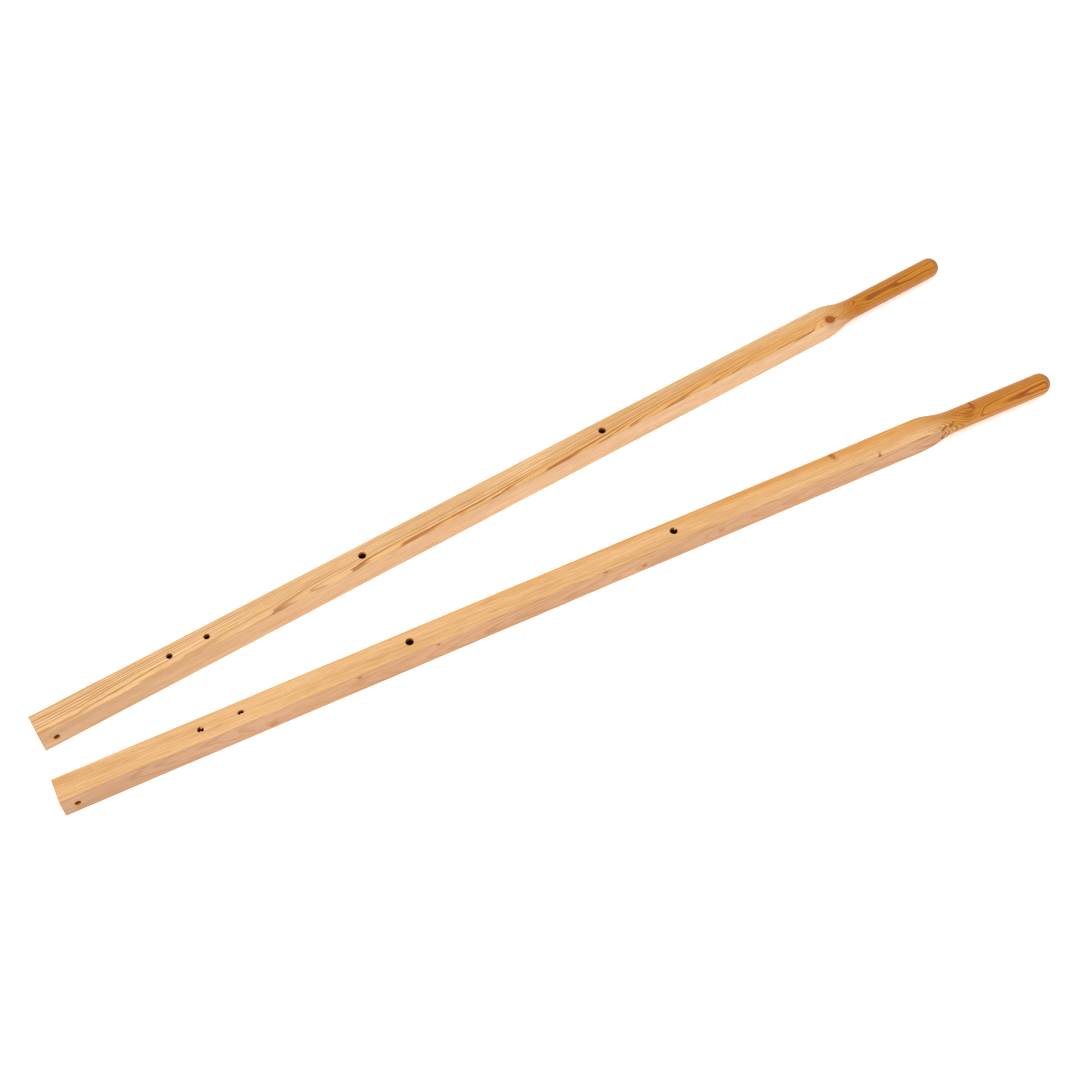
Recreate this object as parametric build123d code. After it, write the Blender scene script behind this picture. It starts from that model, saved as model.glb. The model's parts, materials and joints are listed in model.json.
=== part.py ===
"""A pair of wooden wheelbarrow handles, lying flat beside each other in a narrow V.

Each handle is one straight length of softwood. It is square over most of its
length, with eased long edges and bolt holes, and its last stretch is turned to a
round grip with a domed tip. The wheel ends lie at -X and the grips at +X.
The left handle, as the user stands between the grips, lies at -Y.

Millimetres, +Z up. The origin is under the middle of the pair's box, at the
height of the surface that the handles lie on.
"""

from build123d import *
from math import cos, radians, sin, sqrt
import os

# Timber of one handle
LENGTH = 1524.0            # wheel end to the tip of the grip, 60 in
SIDE = 37.0                # square section
EDGE_RADIUS = 1.5          # easing along the four long edges

# Turned end
GRIP_LENGTH = 168.0        # round stretch, with its domed tip
SHOULDER_LENGTH = 75.0     # run from the square section down to the grip
GRIP_DIAMETERS = {"left_handle": 33.5, "right_handle": 31.5}

# Bolt holes, placed from the wheel end
CROSS_HOLE = (20.0, 8.5)                   # distance, diameter; level, through both sides
UPRIGHT_HOLES = (
    (193.0, 8.5),                          # axle bracket, front bolt
    (248.0, 8.5),                          # axle bracket, rear bolt
    (486.0, 11.0),                         # tray and leg, front bolt
    (886.0, 11.0),                         # tray and leg, rear bolt
)

# How the pair lies
OPENING_ANGLE = 6.7        # between the two handles, in degrees
WHEEL_END_GAP = 101.8      # between the handles' centre lines at their wheel ends
STAGGER = 8.0              # how far the right handle lies ahead, towards the grips

HALF_DIAGONAL = SIDE / sqrt(2)
CUT_CLEARANCE = 10.0       # how far a drill runs past the timber, each way


def turning_profile(grip_radius):
    """Half outline of the lathe work: full over the square part, then shoulder, grip and dome."""
    shoulder_start = LENGTH - GRIP_LENGTH - SHOULDER_LENGTH
    shoulder_end = LENGTH - GRIP_LENGTH
    dome_start = LENGTH - grip_radius
    middle = (shoulder_start + SHOULDER_LENGTH / 2, (HALF_DIAGONAL + grip_radius) / 2)
    dome_rise = grip_radius * sin(radians(45))
    with BuildLine() as outline:
        along = Line((0, HALF_DIAGONAL), (shoulder_start, HALF_DIAGONAL))
        TangentArc(along @ 1, middle, tangent=(1, 0))
        TangentArc((shoulder_end, grip_radius), middle, tangent=(-1, 0))
        Line((shoulder_end, grip_radius), (dome_start, grip_radius))
        ThreePointArc(
            (dome_start, grip_radius),
            (dome_start + dome_rise, dome_rise),
            (LENGTH, 0),
        )
        Polyline((LENGTH, 0), (0, 0), (0, HALF_DIAGONAL))
    return make_face(outline.edges())


def square_bar():
    """The planed bar with eased long edges, its centre line along X."""
    section = Plane.YZ * RectangleRounded(SIDE, SIDE, EDGE_RADIUS)
    return extrude(section, LENGTH)


def drill(distance, diameter, axis):
    """A drill through the bar at a distance from the wheel end, along Y or Z."""
    turn = {"Z": (0, 0, 0), "Y": (90, 0, 0)}[axis]
    cutter = Cylinder(diameter / 2, SIDE + 2 * CUT_CLEARANCE, rotation=turn)
    return Pos(distance, 0, 0) * cutter


def make_handle(grip_diameter):
    """One handle with its wheel end at the origin, lying along +X on the plane Z = 0."""
    turned = revolve(turning_profile(grip_diameter / 2), Axis.X)
    handle = square_bar() & turned
    handle -= drill(*CROSS_HOLE, "Y")
    for distance, diameter in UPRIGHT_HOLES:
        handle -= drill(distance, diameter, "Z")
    return Pos(0, 0, SIDE / 2) * handle


def placements():
    """Where each handle's wheel end lies, before the pair is centred."""
    return {
        "left_handle": Location((0, -WHEEL_END_GAP / 2, 0), (0, 0, -OPENING_ANGLE / 2)),
        "right_handle": Location((STAGGER, WHEEL_END_GAP / 2, 0), (0, 0, OPENING_ANGLE / 2)),
    }


def pair_centre():
    """Middle of the pair's outline on the ground, worked out from the same sizes."""
    half_angle = radians(OPENING_ANGLE / 2)
    back = -SIDE / 2 * sin(half_angle)
    radii = {name: diameter / 2 for name, diameter in GRIP_DIAMETERS.items()}
    reach = {name: (LENGTH - r) * cos(half_angle) + r for name, r in radii.items()}
    spread = {name: (LENGTH - r) * sin(half_angle) + r for name, r in radii.items()}
    front = max(reach["left_handle"], reach["right_handle"] + STAGGER)
    return Vector((back + front) / 2, (spread["right_handle"] - spread["left_handle"]) / 2, 0)


def make_pair():
    """Both handles, each as a solid in its place under its node's name."""
    shift = Location(-pair_centre())
    return {
        name: shift * place * make_handle(GRIP_DIAMETERS[name])
        for name, place in placements().items()
    }


def main():
    os.makedirs("parts", exist_ok=True)
    for name, handle in make_pair().items():
        export_step(handle, f"parts/{name}.step")


if __name__ == "__main__":
    main()
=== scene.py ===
"""Looks of a pair of clear-lacquered softwood wheelbarrow handles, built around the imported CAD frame.

Each handle is one detailed mesh that stands for its CAD node. It is lofted along the
handle, drilled, and coloured by a solid wood material: growth rings round a pith line,
bent by knots, so that every face shows the grain that such a cut would show.

Metres, in the row frame. The wood materials work in millimetres along each handle, read
from a mesh attribute: X from the wheel end, Y and Z from the centre line. Y points away
from the camera's side and Z up.
"""

import json
import math
import random
from dataclasses import dataclass

import bmesh
import bpy
from mathutils import Matrix, Quaternion, Vector

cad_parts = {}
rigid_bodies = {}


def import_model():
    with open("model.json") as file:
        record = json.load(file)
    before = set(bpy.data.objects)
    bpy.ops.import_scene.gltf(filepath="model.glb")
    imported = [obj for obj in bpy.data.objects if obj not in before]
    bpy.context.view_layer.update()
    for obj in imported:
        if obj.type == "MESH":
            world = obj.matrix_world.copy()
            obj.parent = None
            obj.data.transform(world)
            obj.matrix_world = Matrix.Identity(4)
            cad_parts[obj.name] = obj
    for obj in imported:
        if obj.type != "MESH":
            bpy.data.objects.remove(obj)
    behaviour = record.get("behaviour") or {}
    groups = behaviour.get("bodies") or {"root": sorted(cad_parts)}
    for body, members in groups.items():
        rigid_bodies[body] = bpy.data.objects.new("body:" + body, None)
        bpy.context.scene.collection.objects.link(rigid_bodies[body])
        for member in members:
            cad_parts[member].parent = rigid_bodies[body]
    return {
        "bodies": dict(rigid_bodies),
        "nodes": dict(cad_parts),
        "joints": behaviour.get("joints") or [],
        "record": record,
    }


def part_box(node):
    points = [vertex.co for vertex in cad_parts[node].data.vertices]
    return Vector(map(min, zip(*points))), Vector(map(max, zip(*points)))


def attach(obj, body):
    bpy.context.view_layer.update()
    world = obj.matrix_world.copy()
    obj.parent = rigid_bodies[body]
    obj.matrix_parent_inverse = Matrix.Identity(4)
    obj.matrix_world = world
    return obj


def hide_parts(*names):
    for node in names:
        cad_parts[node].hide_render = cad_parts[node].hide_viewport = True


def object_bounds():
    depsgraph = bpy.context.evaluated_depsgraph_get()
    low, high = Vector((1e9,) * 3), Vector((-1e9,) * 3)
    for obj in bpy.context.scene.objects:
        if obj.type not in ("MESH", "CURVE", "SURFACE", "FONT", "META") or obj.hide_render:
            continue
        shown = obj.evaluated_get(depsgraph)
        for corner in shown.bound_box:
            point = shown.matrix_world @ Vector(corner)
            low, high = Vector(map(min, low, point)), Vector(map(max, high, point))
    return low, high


MM = 0.001
GRAIN = "grain_mm"         # the attribute that holds a point's place in its handle, in mm

# Shape of a handle that the record doesn't give, in mm
EDGE_RADIUS = 1.5          # easing of the long edges
EDGE_WEAR = 0.6            # how much more the easing takes off in places
SHOULDER_LENGTH = 75.0     # from the square section down to the grip
CREASE = 0.3               # softness of the line where the turned shoulder meets the flats
END_BREAK = 0.5            # worn arris round the sawn end
RIM_BREAK = 0.35           # worn rim of a bolt hole
RIM_RAGGED = (0.6, 1.5)    # least and most of that wear round one rim, as a share of it
RIM_CURVE = ((0.0, 1.0), (0.4, 0.35), (1.2, 0.0))  # (depth, flare) of the rim, in RIM_BREAKs
TEAR_DEPTH = 1.5           # thickness of the fibres left standing across a hole
TEAR_FADE = 3.0            # further depth over which they thin out to nothing
TEAR_REACH = 0.9           # share of the radius that the longest fibres may stand across
DRILL_OVERSHOOT = 2.0      # how far the drill's cutter stands out of the wood
DRILL_FLARE = 1.6          # its flare there, in RIM_BREAKs

# Mesh steps, in mm
FLAT_STEPS = 16            # across one flat
CORNER_STEPS = 8           # round one eased edge
BAR_STEP = 6.0
SHOULDER_STEP = 1.5
GRIP_STEP = 4.0
DOME_STEPS = 14
END_STEPS = 4              # round the broken arris of the sawn end
HOLE_SIDES = 64
SMOOTH_ANGLE = 40          # degrees; flatter edges than this are shaded smooth

# Waves of wear along a long edge, as (mm per radian, share of the edge's own phase)
WEAR_WAVES = ((83.0, 1.0), (37.0, 2.3))

# Fibres that the drill left standing at the top of a hole, as (angle, half width, reach).
# Angles are in degrees from the grip's direction, and the reach is a share of the radius.
TORN_FIBRES = {
    "left_axle_front": ((48, 26, 1.0), (-100, 42, 0.5)),
    "left_axle_rear": ((-88, 85, 0.85), (95, 60, 0.22)),
    "left_tray_rear": ((35, 22, 0.75),),
}

# Camera, at the photograph's angle
VIEW_AZIMUTH = -28.4
VIEW_ELEVATION = 53.8
VIEW_ROLL = -1.75
VIEW_DISTANCE = 2.351
VIEW_AIM = (-0.0342, 0.002)  # where it aims on the floor, from the middle of the pair
LENS_MM = 55.6
SENSOR_MM = 36

# Studio, in metres and watts
FLOOR_SIZE = 40
FLOOR_GREY = 0.96
FLOOR_GLOW = 0.4           # keeps the paper white under the handles
SKY_STRENGTH = 1.0
SOFTBOX_SIZE = 3.0
SOFTBOX_WATTS = 25
SOFTBOX_PLACE = (-0.5, 0.2, 2.6)   # from the middle of the pair

# Linear colours of the wood, for both handles
GRIP_LATE = (0.38, 0.105, 0.001)   # summer growth on a turned grip, soaked with lacquer
RESIN_DUCT = (0.36, 0.16, 0.05)
KNOT_EARLY = (0.48, 0.125, 0.005)
KNOT_LATE = (0.20, 0.04, 0.001)
KNOT_RIM = (0.14, 0.035, 0.001)
BORE_LIP = (0.66, 0.25, 0.04)
BORE_LIP_DARK = (0.42, 0.14, 0.015)
# Painted shade: the nearly black wall deep inside a bolt hole
BORE_DEEP_SHADE = (0.06, 0.013, 0.002)

# Tints that darken the wood in places
HEARTWOOD = (0.96, 0.80, 0.50)
FIBRE_TINT = (0.84, 0.77, 0.66)
HALO_TINT = (0.80, 0.55, 0.32)     # round a knot
TIP_TINT = (0.56, 0.40, 0.22)      # lacquer gathered on the grip's tip
SAWN_TINT = (0.66, 0.55, 0.42)

# Waves in the grain, as (their size along X, Y and Z, how far they move it), in mm
TRUNK_WAVE = ((420, 60, 60), (0, 7, 7))          # not in the grip
SHORT_WAVE = ((95, 18, 18), (0, 1.4, 1.4))
RIPPLE = ((16, 4, 4), (0, 0.35, 0.35))
KNOT_OUTLINE = ((7, 4, 4), (1.8, 1.0, 1.0))

# Size of the features of each noise along X, Y and Z, in mm
PATCHES = (260, 26, 26)            # of fainter rings
HEART_OUTLINE = (200, 14, 14)
DUCTS = (9, 0.42, 0.42)
FIBRES = (45, 0.6, 0.6)
SMEARS = (70, 22, 22)              # of the lacquer's sheen
SAW_MARKS = (5, 9, 0.8)
KNOT_WAVES = (3, 3, 3)
FUZZ = (2.4, 0.8, 0.8)             # in the bores

# Levels of a noise that runs from 0 to 1
MOST = (0.3, 0.7)                  # nearly all of it lies between these
PATCH_LEVELS = (0.32, 0.68)
FIBRE_LEVELS = (0.25, 0.75)
DUCT_LEVELS = (0.74, 0.80)         # so that only few ducts show
FUZZ_LEVELS = (0.2, 0.8)

# How much of a tint or of a colour shows
PATCH_SHOWN = (0.6, 1.0)
FIBRE_SHARE = 0.9
HALO_SHARE = 0.8
DUCT_SHARE = 0.55

# Surface: roughness, and heights that the bump reads
LACQUER_ROUGH = (0.36, 0.50)
SAWN_ROUGHER = 0.25
BORE_ROUGH = (0.7, 0.95)
LATE_RELIEF = 0.35
FIBRE_RELIEF = 0.5
SAW_RELIEF = 3.0
WOOD_BUMP = {"Strength": 0.35, "Distance": 0.2 * MM}
BORE_BUMP = {"Strength": 0.6, "Distance": 0.6 * MM}

# Growth rings
SUMMER_START = (0.50, 0.86)        # part of a year over which dark growth sets in
SUMMER_END = (1.0, 0.95)           # and over which it ends, going backwards
YEAR_STRENGTH = (-1.0, 0.7)        # smooth step that makes some years' dark growth paler
YEAR_UNEVEN = 1.5                  # most that uneven years add to the count, in rings
YEAR_UNEVEN_RUN = 0.45             # how fast that changes from ring to ring

# Knots: mm along the branch, then shares of the branch's radius
KNOT_FADE = (26, 10)               # from its centre: gone, and whole
KNOT_STRETCH = 0.85                # scale along the handle that makes the knot oval
SWELL_STRETCH = 0.42               # the same for the rings that part round it
SWELL_WIDTH = 1.7
CORE_EDGE = (1.08, 0.9)
HALO_EDGE = (2.1, 0.9)
RIM_EDGE = (0.78, 0.98)
KNOT_RINGS = 2.8                   # years in a knot
KNOT_UNEVEN = 0.5                  # how far their outlines stray
KNOT_SUMMER = (0.1, 0.8)           # part of a year over which dark growth sets in

# Where the wood's colour changes, in mm
TURNED_FADE = (15, 5)              # after the shoulder's start, and after the grip's
STAIN_FADE = (-25, 30)             # from the shoulder's start: where lacquer soaks in
SIDE_FADE = (1.0, 0.3)             # inwards from the near side
SIDE_CHANGE = (60, 420)            # from the wheel end: where the near side's painted light and shade changes from its tint at the wheel end to the one further along
HEART_UNEVEN = 14                  # of the heartwood's outline
HEART_FADE = 16
TIP_FULL = 1.0                     # before the grip's end: where its tint is whole
TIP_START = 1.1                    # the same where it starts, in grip radii
SAWN_DEPTH = (0.5, 0.2)            # of the sawn end: gone, and whole
BORE_SHADE_FADE = (1.5, 8.0)             # depth over which painted shade takes a bore's wall from brown to dark
BORE_UNEVEN = 2.0                  # of that depth


# ---------------------------------------------------------------- the timber

@dataclass
class Knot:
    """A branch set in the timber: a rod along a direction, through a centre, in mm."""
    centre: tuple
    direction: tuple
    radius: float
    swell: float           # how far it pushes the growth rings out
    strength: float = 1.0  # how dark its own wood is


@dataclass
class Mottle:
    """Irregular darkening of the wood, where noise of a given size, in mm, is high."""
    size: tuple
    detail: float
    roughness: float
    levels: tuple          # noise where the tint starts, and where it is full
    share: float           # how much of the tint shows there
    tint: tuple


BROAD_TONE = Mottle((170, 15, 15), 3.0, 0.5, MOST, 0.8, (0.91, 0.86, 0.77))
STREAKS = Mottle((120, 2.0, 2.0), 3.0, 0.65, MOST, 0.9, (0.90, 0.84, 0.74))
DASHES = Mottle((26, 1.3, 1.3), 2.0, 0.6, (0.35, 0.65), 1.0, (0.90, 0.84, 0.74))


@dataclass
class Timber:
    """What one handle's piece of wood is like, in mm and linear colours."""
    pith: tuple            # (y, z) of the tree's centre line at the wheel end
    pith_far: tuple        # the same where the shoulder starts
    pith_grip: tuple       # the same in the grip
    bend: tuple            # the stretch over which the grain turns to the grip's own
    spacing: float         # one year's growth
    phase: float           # which year shows on the bar, counted in rings
    grip_phase: float      # the same in the grip
    grip_drift: float      # rings crossed from the bend's end to the tip
    heart: float           # radius of the darker heartwood
    early: tuple           # pale spring growth
    late: tuple            # dark summer growth
    grip_tint: tuple       # what the lacquer on the turned grip leaves of spring growth, and partly painted shade that keeps the grip darker than the flats, which show a paler sheen
    side_start: tuple      # tint of the near side at the wheel end: painted light and shade that stands in for how the lamps light that face against the top
    side: tuple            # and further along, the same painted light and shade
    side_contrast: float   # how much of the grain shows there
    seed: float            # moves all the irregularities
    knots: tuple = ()


TIMBERS = {
    "left_handle": Timber(
        pith=(76, 3), pith_far=(42, -2), pith_grip=(18.3, -15.4), bend=(1315, 1405),
        spacing=1.6, phase=6.0, grip_phase=0.40, grip_drift=0.75, heart=47,
        early=(0.88, 0.585, 0.315), late=(0.55, 0.25, 0.075), grip_tint=(0.77, 0.60, 0.17),
        side_start=(0.72, 0.67, 0.79), side=(0.77, 0.69, 0.74), side_contrast=0.4, seed=3.0,
        knots=(
            Knot((283, -19, -9), (-0.2, 1, -0.1), 5.0, 3.0, 0.35),
            Knot((406, -19, 14), (0.35, 1, -0.3), 2.3, 2.5, 0.7),
            Knot((520, -19, 14), (0.2, 1, -0.3), 1.8, 2.5, 0.8),
            Knot((771, -18, 16), (0.1, 0.9, -0.3), 2.2, 3.0, 0.6),
            Knot((831, -19, -6), (0.4, 1, 0.0), 3.2, 2.5, 0.5),
            Knot((953, -19, 0), (0.5, 1, -0.1), 3.4, 2.5, 0.3),
            Knot((1151, 15, 18), (-0.2, 1, 0.3), 3.0, 5.0, 0.6),
            Knot((1214, -16, 17), (0.3, 0.8, -0.2), 1.8, 3.0, 0.8),
            Knot((1326, -15, 13), (0.93, 0.1, 0.35), 1.5, 2.5, 0.9),
            Knot((1338, -13, 11), (0.90, -0.1, 0.42), 1.7, 2.5, 0.9),
            Knot((1372, -8, 14), (0.55, -0.45, 0.7), 5.5, 6.0, 0.4),
            Knot((1384.5, 5.6, 14.2), (0.05, 0.93, -0.37), 2.0, 3.0, 1.0),
        ),
    ),
    "right_handle": Timber(
        pith=(-15, -24), pith_far=(-18, -9), pith_grip=(12, -22.5), bend=(1300, 1385),
        spacing=1.2, phase=9.0, grip_phase=3.01, grip_drift=0.31, heart=35,
        early=(0.88, 0.61, 0.35), late=(0.42, 0.155, 0.03), grip_tint=(0.72, 0.46, 0.05),
        side_start=(0.87, 0.88, 0.98), side=(1.00, 1.03, 1.16), side_contrast=0.6, seed=11.0,
        knots=(
            Knot((1243, -17.2, 17.6), (1, 0.02, 0.01), 1.1, 0.5, 0.6),
            Knot((1298, -10.8, 14), (0, -0.36, 0.93), 6.2, 7.0),
        ),
    ),
}


# ---------------------------------------------------------------- handle shape

@dataclass
class Bore:
    """A bolt hole of a handle, in the handle's own mm."""
    name: str
    x: float
    radius: float
    upright: bool          # drilled from the top, and otherwise from the near side


class Handle:
    """One handle as the frame gives it: its centre line, length, bores and grip, in mm."""

    def __init__(self, node, frame):
        side = node.split("_")[0]
        mounts = {m["name"]: m for m in frame["record"]["mounts"] if m["name"].startswith(side)}
        grip = mounts[f"{side}_grip"]
        self.node = node
        self.axis = Vector(grip["axis"]).normalized()
        on_line = Vector(grip["pos_m"])
        reach = [(v.co - on_line).dot(self.axis) for v in frame["nodes"][node].data.vertices]
        self.start = on_line + self.axis * min(reach)
        self.length = (max(reach) - min(reach)) / MM
        self.half = (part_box(node)[1].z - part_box(node)[0].z) / 2 / MM
        self.grip_radius = grip["dims"]["r_mm"]
        self.grip_start = self.place(on_line).x - grip["dims"]["length_mm"] / 2
        self.shoulder_start = self.grip_start - SHOULDER_LENGTH
        self.bores = [
            Bore(name, self.place(Vector(m["pos_m"])).x, m["dims"]["r_mm"], abs(m["axis"][2]) > 0.5)
            for name, m in mounts.items()
            if m["kind"] == "bore"
        ]

    def matrix(self):
        """From the handle's own millimetres to the row frame."""
        across = Vector((0, 0, 1)).cross(self.axis)
        turn = Matrix((self.axis, across, Vector((0, 0, 1)))).transposed().to_4x4()
        return Matrix.Translation(self.start) @ turn @ Matrix.Scale(MM, 4)

    def place(self, point):
        """A point of the row frame in the handle's own millimetres."""
        return self.matrix().inverted() @ point


def turned_radius(handle, x):
    """Radius of the lathe work at x: full over the bar, an S of two equal arcs, then the grip."""
    full = handle.half * math.sqrt(2)
    grip = handle.grip_radius
    drop = full - grip
    arc = (SHOULDER_LENGTH ** 2 + drop ** 2) / (4 * drop)
    into = x - handle.shoulder_start
    if into <= 0:
        return full
    if into <= SHOULDER_LENGTH / 2:
        return full - (arc - math.sqrt(arc ** 2 - into ** 2))
    left = max(SHOULDER_LENGTH - into, 0)
    return grip + (arc - math.sqrt(arc ** 2 - left ** 2))


def flat_radius(half, easing, angle):
    """Distance from the centre to the eased square, angle being from the middle of a flat."""
    inner = half - easing
    if math.tan(abs(angle)) <= inner / half:
        return half / math.cos(angle)
    to_corner = inner * (math.cos(angle) + math.sin(abs(angle)))
    return to_corner + math.sqrt(easing ** 2 - 2 * inner ** 2 + to_corner ** 2)


def soft_min(a, b, softness):
    """The smaller of the two, with the crease between them rounded inwards."""
    near = min(a, b)
    return near - softness * math.log1p(math.exp(-abs(a - b) / softness))


def section_angles(half):
    """Angles round the section as (quarter, angle from the middle of that flat)."""
    inner = half - EDGE_RADIUS
    angles = []
    for step in range(FLAT_STEPS):
        angles.append(math.atan(inner * (2 * step / FLAT_STEPS - 1) / half))
    for step in range(CORNER_STEPS):
        arc = math.radians(90 * step / CORNER_STEPS)
        y = inner + EDGE_RADIUS * math.cos(arc)
        z = inner + EDGE_RADIUS * math.sin(arc)
        angles.append(math.atan2(z, y))
    return [(quarter, angle) for quarter in range(4) for angle in angles]


def edge_easing(phase, x):
    """Easing of a long edge at x: never less than nominal, a little more where it is worn."""
    wave = sum(math.sin(x / run + share * phase) for run, share in WEAR_WAVES)
    waves = len(WEAR_WAVES)
    return EDGE_RADIUS + EDGE_WEAR * (wave + waves) / (2 * waves)


def stations(handle):
    """Places along the handle for its sections: (x, inset), the inset breaking the sawn arris."""
    found = []
    for step in range(END_STEPS + 1):
        arc = math.radians(90 * step / END_STEPS)
        found.append((END_BREAK * (1 - math.cos(arc)), END_BREAK * (1 - math.sin(arc))))
    spans = (
        (END_BREAK, handle.shoulder_start, BAR_STEP),
        (handle.shoulder_start, handle.grip_start, SHOULDER_STEP),
        (handle.grip_start, handle.length - handle.grip_radius, GRIP_STEP),
    )
    for low, high, step in spans:
        count = math.ceil((high - low) / step)
        found += [(low + (high - low) * (i + 1) / count, 0.0) for i in range(count)]
    return found


def bar_section(handle, phases, x, inset):
    """Radii round the section at x, each with its angle about the centre line."""
    turned = turned_radius(handle, x)
    section = []
    for quarter, angle in section_angles(handle.half):
        corner = quarter if angle > 0 else (quarter - 1) % 4
        flat = flat_radius(handle.half, edge_easing(phases[corner], x), angle)
        section.append((soft_min(flat, turned, CREASE) - inset, angle + quarter * math.pi / 2))
    return section


def loft(handle, rng):
    """The undrilled handle as a closed mesh in its own millimetres."""
    phases = [rng.uniform(0, 2 * math.pi) for _ in range(4)]
    turns = [angle + quarter * math.pi / 2 for quarter, angle in section_angles(handle.half)]
    sections = [(x, bar_section(handle, phases, x, inset)) for x, inset in stations(handle)]
    dome = handle.length - handle.grip_radius
    for step in range(1, DOME_STEPS):
        arc = math.radians(90 * step / DOME_STEPS)
        radius = handle.grip_radius * math.cos(arc)
        sections.append((dome + handle.grip_radius * math.sin(arc), [(radius, t) for t in turns]))

    bm = bmesh.new()
    rings = []
    for x, section in sections:
        rings.append([bm.verts.new((x, r * math.cos(t), r * math.sin(t))) for r, t in section])
    bridge(bm, rings)
    tip = bm.verts.new((handle.length, 0, 0))
    for i, vert in enumerate(rings[-1]):
        bm.faces.new((vert, rings[-1][(i + 1) % len(turns)], tip))
    bm.faces.new(list(reversed(rings[0])))
    return bm


def bridge(bm, rings):
    """Joins each ring of vertices to the next with a band of quads."""
    for low, high in zip(rings, rings[1:]):
        for i in range(len(low)):
            j = (i + 1) % len(low)
            bm.faces.new((low[i], low[j], high[j], high[i]))


def to_mesh(bm, name):
    """The finished bmesh as a mesh whose faces all look outwards."""
    bmesh.ops.recalc_face_normals(bm, faces=bm.faces)
    mesh = bpy.data.meshes.new(name)
    bm.to_mesh(mesh)
    bm.free()
    return mesh


# ---------------------------------------------------------------- drilled holes

def rim_profile(half):
    """Depths along a drill, each with how far the worn rim flares there."""
    near = [(half + DRILL_OVERSHOOT, RIM_BREAK * DRILL_FLARE)]
    near += [(half - RIM_BREAK * depth, RIM_BREAK * flare) for depth, flare in RIM_CURVE]
    near += [(half - TEAR_DEPTH - TEAR_FADE * share, 0.0) for share in (0, 0.5, 1)]
    return [(-depth, flare) for depth, flare in near] + list(reversed(near))


def standing_fibres(fibres, turn, depth, half):
    """Share of the radius that torn fibres fill, at an angle and a depth of the hole."""
    fade = 1 - min(max((half - TEAR_DEPTH - depth) / TEAR_FADE, 0), 1)
    filled = 0.0
    for angle, width, reach in fibres:
        away = (math.degrees(turn) - angle + 180) % 360 - 180
        if abs(away) < width:
            filled += reach * fade * math.cos(math.radians(90 * away / width)) ** 1.5
    return min(filled, 1.0)


def drill(handle, bore, rng):
    """Cutter for one bolt hole: a rod with flared, ragged rims that spares the torn fibres."""
    ragged = [rng.uniform(*RIM_RAGGED) for _ in range(HOLE_SIDES)]
    fibres = TORN_FIBRES.get(bore.name, ())
    bm = bmesh.new()
    rings = []
    for depth, flare in rim_profile(handle.half):
        ring = []
        for i in range(HOLE_SIDES):
            turn = 2 * math.pi * i / HOLE_SIDES
            spared = standing_fibres(fibres, turn, depth, handle.half)
            r = (bore.radius + flare * ragged[i]) * (1 - TEAR_REACH * spared)
            x, side = bore.x + r * math.cos(turn), r * math.sin(turn)
            ring.append(bm.verts.new((x, side, depth) if bore.upright else (x, depth, -side)))
        rings.append(ring)
    bridge(bm, rings)
    bm.faces.new(list(reversed(rings[0])))
    bm.faces.new(rings[-1])
    return to_mesh(bm, "drill")


def cut(obj, cutter_mesh):
    """Takes the cutter's volume out of the object's mesh, which gains the cutter's material."""
    cutter = bpy.data.objects.new("cutter", cutter_mesh)
    bpy.context.scene.collection.objects.link(cutter)
    modifier = obj.modifiers.new("cut", "BOOLEAN")
    modifier.operation = "DIFFERENCE"
    modifier.solver = "EXACT"
    modifier.material_mode = "TRANSFER"
    modifier.object = cutter
    bpy.context.view_layer.update()
    depsgraph = bpy.context.evaluated_depsgraph_get()
    made = bpy.data.meshes.new_from_object(obj.evaluated_get(depsgraph), depsgraph=depsgraph)
    obj.modifiers.clear()
    obj.data = made
    bpy.data.objects.remove(cutter)


def make_handle(handle, seed, wood, bore_wall):
    """The detailed mesh of one handle, in its place in the row frame."""
    rng = random.Random(seed)
    obj = bpy.data.objects.new(f"{handle.node}_wood", to_mesh(loft(handle, rng), handle.node))
    bpy.context.scene.collection.objects.link(obj)
    obj.data.materials.append(wood)
    for bore in handle.bores:
        cutter_mesh = drill(handle, bore, rng)
        cutter_mesh.materials.append(bore_wall)
        cut(obj, cutter_mesh)
    mesh = obj.data
    place = mesh.attributes.new(GRAIN, "FLOAT_VECTOR", "POINT")
    place.data.foreach_set("vector", [c for v in mesh.vertices for c in v.co])
    mesh.transform(handle.matrix())
    mesh.shade_smooth()
    mesh.set_sharp_from_angle(angle=math.radians(SMOOTH_ANGLE))
    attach(obj, handle.node)
    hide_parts(handle.node)
    return obj


# ---------------------------------------------------------------- nodes

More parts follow.
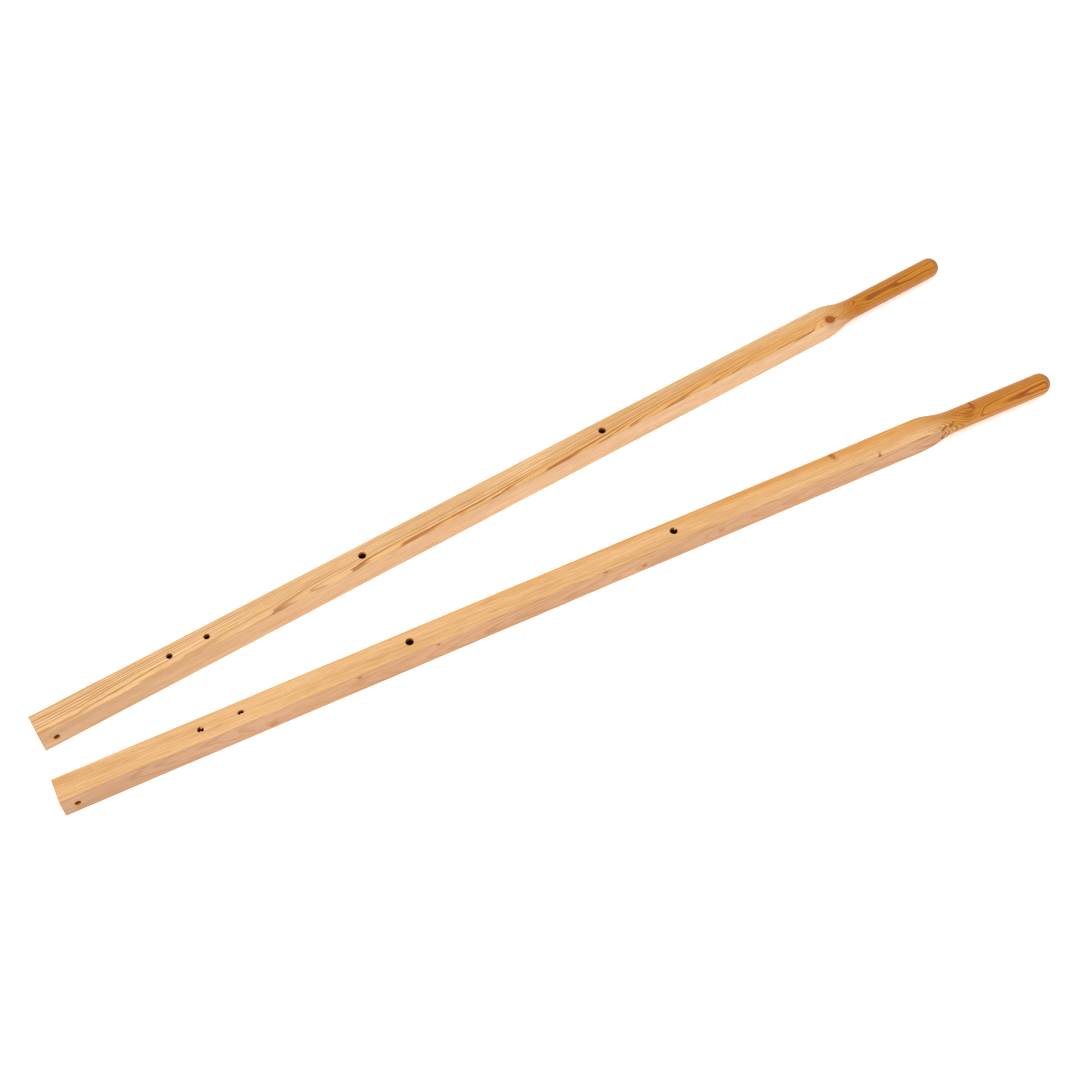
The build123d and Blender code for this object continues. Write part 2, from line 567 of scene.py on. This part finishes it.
class Nodes:
    """Adds nodes to one tree, so that a formula of sockets reads as a formula."""

    def __init__(self, tree, seed=0.0):
        self.tree = tree
        self.seed = seed

    def add(self, kind, inputs=(), **settings):
        node = self.tree.nodes.new(kind)
        for name, value in settings.items():
            setattr(node, name, value)
        for key, value in dict(inputs).items():
            self.feed(node.inputs[key], value)
        return node

    def feed(self, socket, value):
        if isinstance(value, bpy.types.NodeSocket):
            self.tree.links.new(value, socket)
        else:
            socket.default_value = value

    def math(self, operation, *values, clamp=False):
        node = self.add("ShaderNodeMath", enumerate(values), operation=operation, use_clamp=clamp)
        return node.outputs[0]

    def vector(self, operation, *values):
        node = self.add("ShaderNodeVectorMath", enumerate(values), operation=operation)
        scalar = operation in ("LENGTH", "DOT_PRODUCT", "DISTANCE")
        return node.outputs["Value" if scalar else "Vector"]

    def split(self, at):
        return self.add("ShaderNodeSeparateXYZ", {0: at}).outputs

    def noise_node(self, at, stretch, detail, roughness):
        scaled = self.vector("MULTIPLY_ADD", at, tuple(1 / s for s in stretch), (self.seed,) * 3)
        return self.add("ShaderNodeTexNoise", {
            "Vector": scaled, "Scale": 1.0, "Detail": detail, "Roughness": roughness,
        })

    def noise(self, at, stretch, detail=2.0, roughness=0.5):
        """Fractal noise from 0 to 1. stretch is the size of its features along X, Y and Z."""
        return self.noise_node(at, stretch, detail, roughness).outputs["Fac"]

    def wander(self, at, stretch, shift):
        """The point moved by up to half of shift, by waves of the size that stretch gives."""
        wave = self.noise_node(at, stretch, 1.0, 0.5).outputs["Color"]
        return self.vector("MULTIPLY_ADD", self.vector("SUBTRACT", wave, (0.5,) * 3), shift, at)

    def step(self, value, low, high, to_low=0.0, to_high=1.0):
        """Smooth change from to_low, where value is low, to to_high, where it is high."""
        node = self.add("ShaderNodeMapRange", {
            "Value": value, "From Min": low, "From Max": high, "To Min": to_low, "To Max": to_high,
        }, interpolation_type="SMOOTHSTEP")
        return node.outputs["Result"]

    def mix(self, share, a, b, blend="MIX"):
        node = self.add("ShaderNodeMix", data_type="RGBA", blend_type=blend)
        self.feed(node.inputs["Factor"], share)
        colours = [socket for socket in node.inputs if socket.type == "RGBA"]
        self.feed(colours[0], a)
        self.feed(colours[1], b)
        return [socket for socket in node.outputs if socket.type == "RGBA"][0]

    def mix_vector(self, share, a, b):
        """a where share is 0 and b where it is 1."""
        reach = self.vector("SUBTRACT", b, a)
        shares = self.add("ShaderNodeCombineXYZ", {0: share, 1: share, 2: share}).outputs[0]
        return self.vector("MULTIPLY_ADD", reach, shares, a)


def rgba(colour):
    return (*colour, 1.0)


def empty_material(name, seed=0.0):
    """A material with an empty node tree, and what adds nodes to it."""
    material = bpy.data.materials.new(name)
    material.use_nodes = True
    material.node_tree.nodes.clear()
    return material, Nodes(material.node_tree, seed)


# ---------------------------------------------------------------- wood

def knot_group():
    """Node group for one knot: how far it swells the rings, and where its own wood shows."""
    tree = bpy.data.node_groups.new("knot", "ShaderNodeTree")
    for name, kind in (("Point", "Vector"), ("Centre", "Vector"), ("Direction", "Vector"),
                       ("Radius", "Float"), ("Swell", "Float"), ("Strength", "Float")):
        tree.interface.new_socket(name, in_out="INPUT", socket_type=f"NodeSocket{kind}")
    for name in ("Swelling", "Core", "Halo", "Rings"):
        tree.interface.new_socket(name, in_out="OUTPUT", socket_type="NodeSocketFloat")
    n = Nodes(tree)
    given = n.add("NodeGroupInput").outputs
    away = n.vector("SUBTRACT", given["Point"], given["Centre"])
    along = n.vector("DOT_PRODUCT", away, given["Direction"])
    alongs = n.add("ShaderNodeCombineXYZ", {0: along, 1: along, 2: along}).outputs[0]
    across = n.vector("SUBTRACT", away, n.vector("MULTIPLY", alongs, given["Direction"]))
    core_way = n.vector("LENGTH", n.vector("MULTIPLY", across, (KNOT_STRETCH, 1, 1)))
    swell_way = n.vector("LENGTH", n.vector("MULTIPLY", across, (SWELL_STRETCH, 1, 1)))
    near = n.step(n.math("ABSOLUTE", along), *KNOT_FADE)
    share = n.math("DIVIDE", core_way, given["Radius"])
    spread = n.math("DIVIDE", swell_way, n.math("MULTIPLY", given["Radius"], SWELL_WIDTH))
    bell = n.math("EXPONENT", n.math("MULTIPLY", n.math("POWER", spread, 2), -1))
    shown = n.math("MULTIPLY", near, given["Strength"])
    made = n.add("NodeGroupOutput").inputs
    n.feed(made["Swelling"], n.math("MULTIPLY", n.math("MULTIPLY", bell, near), given["Swell"]))
    n.feed(made["Core"], n.math("MULTIPLY", n.step(share, *CORE_EDGE), shown))
    n.feed(made["Halo"], n.math("MULTIPLY", n.step(share, *HALO_EDGE), shown))
    n.feed(made["Rings"], share)
    return tree


def add_knots(n, at, timber, group):
    """All of a timber's knots together: swelling in mm, core and halo masks, and ring count."""
    swelling, core, halo, rings = 0.0, 0.0, 0.0, 0.0
    for knot in timber.knots:
        direction = Vector(knot.direction).normalized()
        node = n.add("ShaderNodeGroup", node_tree=group)
        for name, value in (("Point", at), ("Centre", knot.centre), ("Direction", direction),
                            ("Radius", knot.radius), ("Swell", knot.swell),
                            ("Strength", knot.strength)):
            n.feed(node.inputs[name], value)
        made = node.outputs
        inside = n.math("GREATER_THAN", made["Core"], 0.0)
        swelling = n.math("ADD", swelling, made["Swelling"])
        rings = n.math("MULTIPLY_ADD", made["Rings"], inside, rings)
        core = n.math("MAXIMUM", core, made["Core"])
        halo = n.math("MAXIMUM", halo, made["Halo"])
    return swelling, core, halo, rings


def between(n, share, a, b):
    """A number that goes from a to b as share goes from 0 to 1."""
    return n.add("ShaderNodeMix", {"Factor": share, 2: a, 3: b}).outputs[0]


def ring_count(n, at, timber, handle, swelling):
    """Growth rings at the point, and its distance to the pith in mm.

    The count is the timber's phase along the top near edge of the bar, and its grip phase
    along the line of the grip that lies furthest from the pith.
    """
    x = n.split(at)[0]
    to_grip = n.step(x, *timber.bend)
    to_shoulder = n.math("DIVIDE", x, timber.bend[0])
    bar_pith = n.mix_vector(to_shoulder, (0, *timber.pith), (0, *timber.pith_far))
    pith = n.mix_vector(to_grip, bar_pith, (0, *timber.pith_grip))
    moved = n.mix_vector(to_grip, n.wander(at, *TRUNK_WAVE), at)
    moved = n.wander(moved, *SHORT_WAVE)
    moved = n.wander(moved, *RIPPLE)
    reach = n.vector("MULTIPLY", n.vector("SUBTRACT", moved, pith), (0, 1, 1))
    radius = n.vector("LENGTH", reach)
    bar_edge = (Vector((-handle.half, handle.half)) - Vector(timber.pith_far)).length
    grip_edge = Vector(timber.pith_grip).length + handle.grip_radius
    inside = n.math("SUBTRACT", between(n, to_grip, bar_edge, grip_edge), radius)
    grown = n.math("DIVIDE", n.math("ADD", inside, swelling), -timber.spacing)
    past_bend = n.math("SUBTRACT", x, timber.bend[1])
    tip_share = n.math("DIVIDE", past_bend, handle.length - timber.bend[1])
    grip_phase = n.math("MULTIPLY_ADD", tip_share, timber.grip_drift, timber.grip_phase)
    count = n.math("ADD", grown, between(n, to_grip, timber.phase, grip_phase))
    run = n.math("MULTIPLY_ADD", count, YEAR_UNEVEN_RUN, timber.seed)
    uneven = n.add("ShaderNodeTexNoise", {
        "W": run, "Scale": 1.0, "Detail": 1.0,
    }, noise_dimensions="1D").outputs["Fac"]
    return n.math("MULTIPLY_ADD", uneven, between(n, to_grip, YEAR_UNEVEN, 0.0), count), radius


def late_wood(n, count):
    """Share of dark summer growth at a ring count: it builds up slowly and ends sharply."""
    part = n.math("FRACT", count)
    dark = n.math("MULTIPLY", n.step(part, *SUMMER_START), n.step(part, *SUMMER_END))
    year = n.add("ShaderNodeTexWhiteNoise", {"W": n.math("FLOOR", count)}, noise_dimensions="1D")
    return n.math("MULTIPLY", dark, n.step(year.outputs["Value"], *YEAR_STRENGTH))


def knot_colour(n, at, rings):
    """Red-brown rings inside a knot, with a dark rim."""
    wavy = n.math("MULTIPLY_ADD", n.noise(at, KNOT_WAVES), KNOT_UNEVEN, rings)
    ring = n.math("FRACT", n.math("MULTIPLY", wavy, KNOT_RINGS))
    wood = n.mix(n.step(ring, *KNOT_SUMMER), rgba(KNOT_EARLY), rgba(KNOT_LATE))
    return n.mix(n.step(rings, *RIM_EDGE), wood, rgba(KNOT_RIM))


def tinted(n, colour, share, tint):
    """The colour times a tint, as far as share goes."""
    return n.mix(share, colour, rgba(tint), "MULTIPLY")


def bar_colour(n, at, timber, handle, late, near_side):
    """Rings on the bar: fainter in patches and on the near side, and stained at the shoulder."""
    x = n.split(at)[0]
    patch = n.step(n.noise(at, PATCHES), *PATCH_LEVELS, *PATCH_SHOWN)
    shown = n.math("MULTIPLY", patch, n.step(near_side, 0.0, 1.0, 1.0, timber.side_contrast))
    stained = n.step(x, *(handle.shoulder_start + fade for fade in STAIN_FADE))
    shown = n.math("MAXIMUM", shown, stained)
    dark = n.mix(stained, rgba(timber.late), rgba(GRIP_LATE))
    return n.mix(n.math("MULTIPLY", late, shown), rgba(timber.early), dark)


def grip_colour(n, timber, late):
    """Rings on the turned grip: soaked with lacquer, and partly painted shade that keeps it darker than
    the flats.
    """
    early = tuple(a * b for a, b in zip(timber.early, timber.grip_tint))
    return n.mix(late, rgba(early), rgba(GRIP_LATE))


def wood_colour(n, at, timber, handle, late, radius):
    """Colour of the lacquered wood away from its knots, with painted light and shade on the near side.
    """
    x, y, _ = n.split(at)
    near_side = n.step(y, *(inwards - handle.half for inwards in SIDE_FADE))
    turned = n.step(x, handle.shoulder_start + TURNED_FADE[0], handle.grip_start + TURNED_FADE[1])
    bar = bar_colour(n, at, timber, handle, late, near_side)
    colour = n.mix(turned, bar, grip_colour(n, timber, late))
    heart_way = n.math("MULTIPLY_ADD", n.noise(at, HEART_OUTLINE), HEART_UNEVEN, radius)
    heart = n.step(heart_way, timber.heart + HEART_FADE, timber.heart)
    heart_shown = n.math("MULTIPLY", heart, n.math("SUBTRACT", 1.0, near_side))
    colour = tinted(n, colour, heart_shown, HEARTWOOD)
    # Painted light and shade: the near side is multiplied by its own tint, for how the lamps light that
    # face against the top
    side = n.mix(n.step(x, *SIDE_CHANGE), rgba(timber.side_start), rgba(timber.side))
    colour = n.mix(near_side, colour, side, "MULTIPLY")
    for mottle in (BROAD_TONE, STREAKS, DASHES):
        noise = n.noise(at, mottle.size, mottle.detail, mottle.roughness)
        colour = tinted(n, colour, n.step(noise, *mottle.levels, 0.0, mottle.share), mottle.tint)
    duct = n.step(n.noise(at, DUCTS, detail=0.0), *DUCT_LEVELS, 0.0, DUCT_SHARE)
    return n.mix(duct, colour, rgba(RESIN_DUCT))


def wood_surface(n, at, late, fibre, sawn):
    """Roughness and normal: a smeared sheen, over raised grain and the end's saw marks."""
    smear = n.noise(at, SMEARS, detail=3.0)
    lacquered = n.step(smear, *MOST, *LACQUER_ROUGH)
    rough = n.math("MULTIPLY_ADD", sawn, SAWN_ROUGHER, lacquered)
    saw_marks = n.math("MULTIPLY", n.noise(at, SAW_MARKS), sawn)
    relief = n.math("MULTIPLY_ADD", late, LATE_RELIEF, n.math("MULTIPLY", fibre, FIBRE_RELIEF))
    relief = n.math("MULTIPLY_ADD", saw_marks, SAW_RELIEF, relief)
    bump = n.add("ShaderNodeBump", {**WOOD_BUMP, "Height": relief})
    return rough, bump.outputs["Normal"]


def wood_material(name, timber, handle, group):
    """Lacquered wood, with the sawn end darker and duller because lacquer soaks into it."""
    material, n = empty_material(name, timber.seed)
    at = n.add("ShaderNodeAttribute", attribute_name=GRAIN).outputs["Vector"]
    x = n.split(at)[0]
    swelling, core, halo, rings = add_knots(n, n.wander(at, *KNOT_OUTLINE), timber, group)
    count, radius = ring_count(n, at, timber, handle, swelling)
    late = late_wood(n, count)
    fibre = n.noise(at, FIBRES)
    tip_start = handle.length - TIP_START * handle.grip_radius
    tip = n.step(x, tip_start, handle.length - TIP_FULL)
    sawn = n.step(x, *SAWN_DEPTH)
    colour = wood_colour(n, at, timber, handle, late, radius)
    colour = tinted(n, colour, n.step(fibre, *FIBRE_LEVELS, 0.0, FIBRE_SHARE), FIBRE_TINT)
    colour = tinted(n, colour, n.math("MULTIPLY", halo, HALO_SHARE), HALO_TINT)
    colour = n.mix(core, colour, knot_colour(n, at, rings))
    colour = tinted(n, colour, tip, TIP_TINT)
    colour = tinted(n, colour, sawn, SAWN_TINT)
    rough, normal = wood_surface(n, at, late, fibre, sawn)
    shader = n.add("ShaderNodeBsdfPrincipled", {
        "Base Color": colour, "Roughness": rough, "Normal": normal,
        "Specular IOR Level": 0.24, "Coat Weight": 0.05, "Coat Roughness": 0.22,
    })
    n.add("ShaderNodeOutputMaterial", {"Surface": shader.outputs["BSDF"]})
    return material


def bore_material(name, handle):
    """Bare wall of a drilled hole: scorched brown at the rim, with painted shade that takes it to
    nearly black inside.
    """
    material, n = empty_material(name)
    at = n.add("ShaderNodeAttribute", attribute_name=GRAIN).outputs["Vector"]
    _, y, z = n.split(n.vector("ABSOLUTE", at))
    depth = n.math("SUBTRACT", handle.half, n.math("MAXIMUM", y, z))
    fuzz = n.noise(at, FUZZ, detail=3.0)
    depth = n.math("MULTIPLY_ADD", fuzz, BORE_UNEVEN, depth)
    lip = n.mix(fuzz, rgba(BORE_LIP), rgba(BORE_LIP_DARK))
    # Painted shade: the wall goes from the lip's brown to nearly black with depth into the hole
    colour = n.mix(n.step(depth, *BORE_SHADE_FADE), lip, rgba(BORE_DEEP_SHADE))
    bump = n.add("ShaderNodeBump", {**BORE_BUMP, "Height": fuzz})
    shader = n.add("ShaderNodeBsdfPrincipled", {
        "Base Color": colour, "Roughness": n.step(fuzz, *FUZZ_LEVELS, *BORE_ROUGH),
        "Normal": bump.outputs["Normal"], "Specular IOR Level": 0.08,
    })
    n.add("ShaderNodeOutputMaterial", {"Surface": shader.outputs["BSDF"]})
    return material


# ---------------------------------------------------------------- studio

def make_floor(height):
    """A sheet of white paper that the handles lie on."""
    bpy.ops.mesh.primitive_plane_add(size=FLOOR_SIZE, location=(0, 0, height))
    floor = bpy.context.object
    floor.name = "floor"
    material = bpy.data.materials.new("floor_paper")
    material.use_nodes = True
    shader = material.node_tree.nodes["Principled BSDF"]
    shader.inputs["Base Color"].default_value = (FLOOR_GREY, FLOOR_GREY, FLOOR_GREY, 1)
    shader.inputs["Roughness"].default_value = 0.9
    shader.inputs["Specular IOR Level"].default_value = 0.1
    shader.inputs["Emission Color"].default_value = (1, 1, 1, 1)
    shader.inputs["Emission Strength"].default_value = FLOOR_GLOW
    floor.data.materials.append(material)


def make_lights(centre):
    """A white sky and one large softbox overhead."""
    world = bpy.data.worlds.new("studio")
    world.use_nodes = True
    sky = world.node_tree.nodes["Background"]
    sky.inputs["Color"].default_value = (1, 1, 1, 1)
    sky.inputs["Strength"].default_value = SKY_STRENGTH
    bpy.context.scene.world = world
    light = bpy.data.lights.new("softbox", "AREA")
    light.shape = "RECTANGLE"
    light.size = SOFTBOX_SIZE
    light.size_y = SOFTBOX_SIZE
    light.energy = SOFTBOX_WATTS
    box = bpy.data.objects.new("softbox", light)
    box.location = centre + Vector(SOFTBOX_PLACE)
    box.rotation_euler = (centre - box.location).to_track_quat("-Z", "Y").to_euler()
    bpy.context.scene.collection.objects.link(box)


def make_camera(centre, floor_height):
    """The camera at the photograph's angle."""
    azimuth, elevation = math.radians(VIEW_AZIMUTH), math.radians(VIEW_ELEVATION)
    back = Vector((
        math.sin(azimuth) * math.cos(elevation),
        -math.cos(azimuth) * math.cos(elevation),
        math.sin(elevation),
    ))
    aim = Vector((centre.x + VIEW_AIM[0], centre.y + VIEW_AIM[1], floor_height))
    data = bpy.data.cameras.new("camera")
    data.lens = LENS_MM
    data.sensor_width = SENSOR_MM
    camera = bpy.data.objects.new("camera", data)
    camera.location = aim + back * VIEW_DISTANCE
    camera.rotation_mode = "QUATERNION"
    roll = Quaternion((0, 0, 1), math.radians(VIEW_ROLL))
    camera.rotation_quaternion = (-back).to_track_quat("-Z", "Y") @ roll
    bpy.context.scene.collection.objects.link(camera)
    bpy.context.scene.camera = camera


# ---------------------------------------------------------------- the scene

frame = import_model()
cad_low, cad_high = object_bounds()
middle = (cad_low + cad_high) / 2

make_camera(middle, cad_low.z)
make_lights(middle)
make_floor(cad_low.z)
bpy.context.scene.view_settings.view_transform = "Standard"

knots = knot_group()
for seed, (node, timber) in enumerate(TIMBERS.items(), start=1):
    handle = Handle(node, frame)
    slot = node.replace("handle", "wood")
    wood = wood_material(slot, timber, handle, knots)
    bore_wall = bore_material(f"{slot}_bore", handle)
    piece = make_handle(handle, seed, wood, bore_wall)
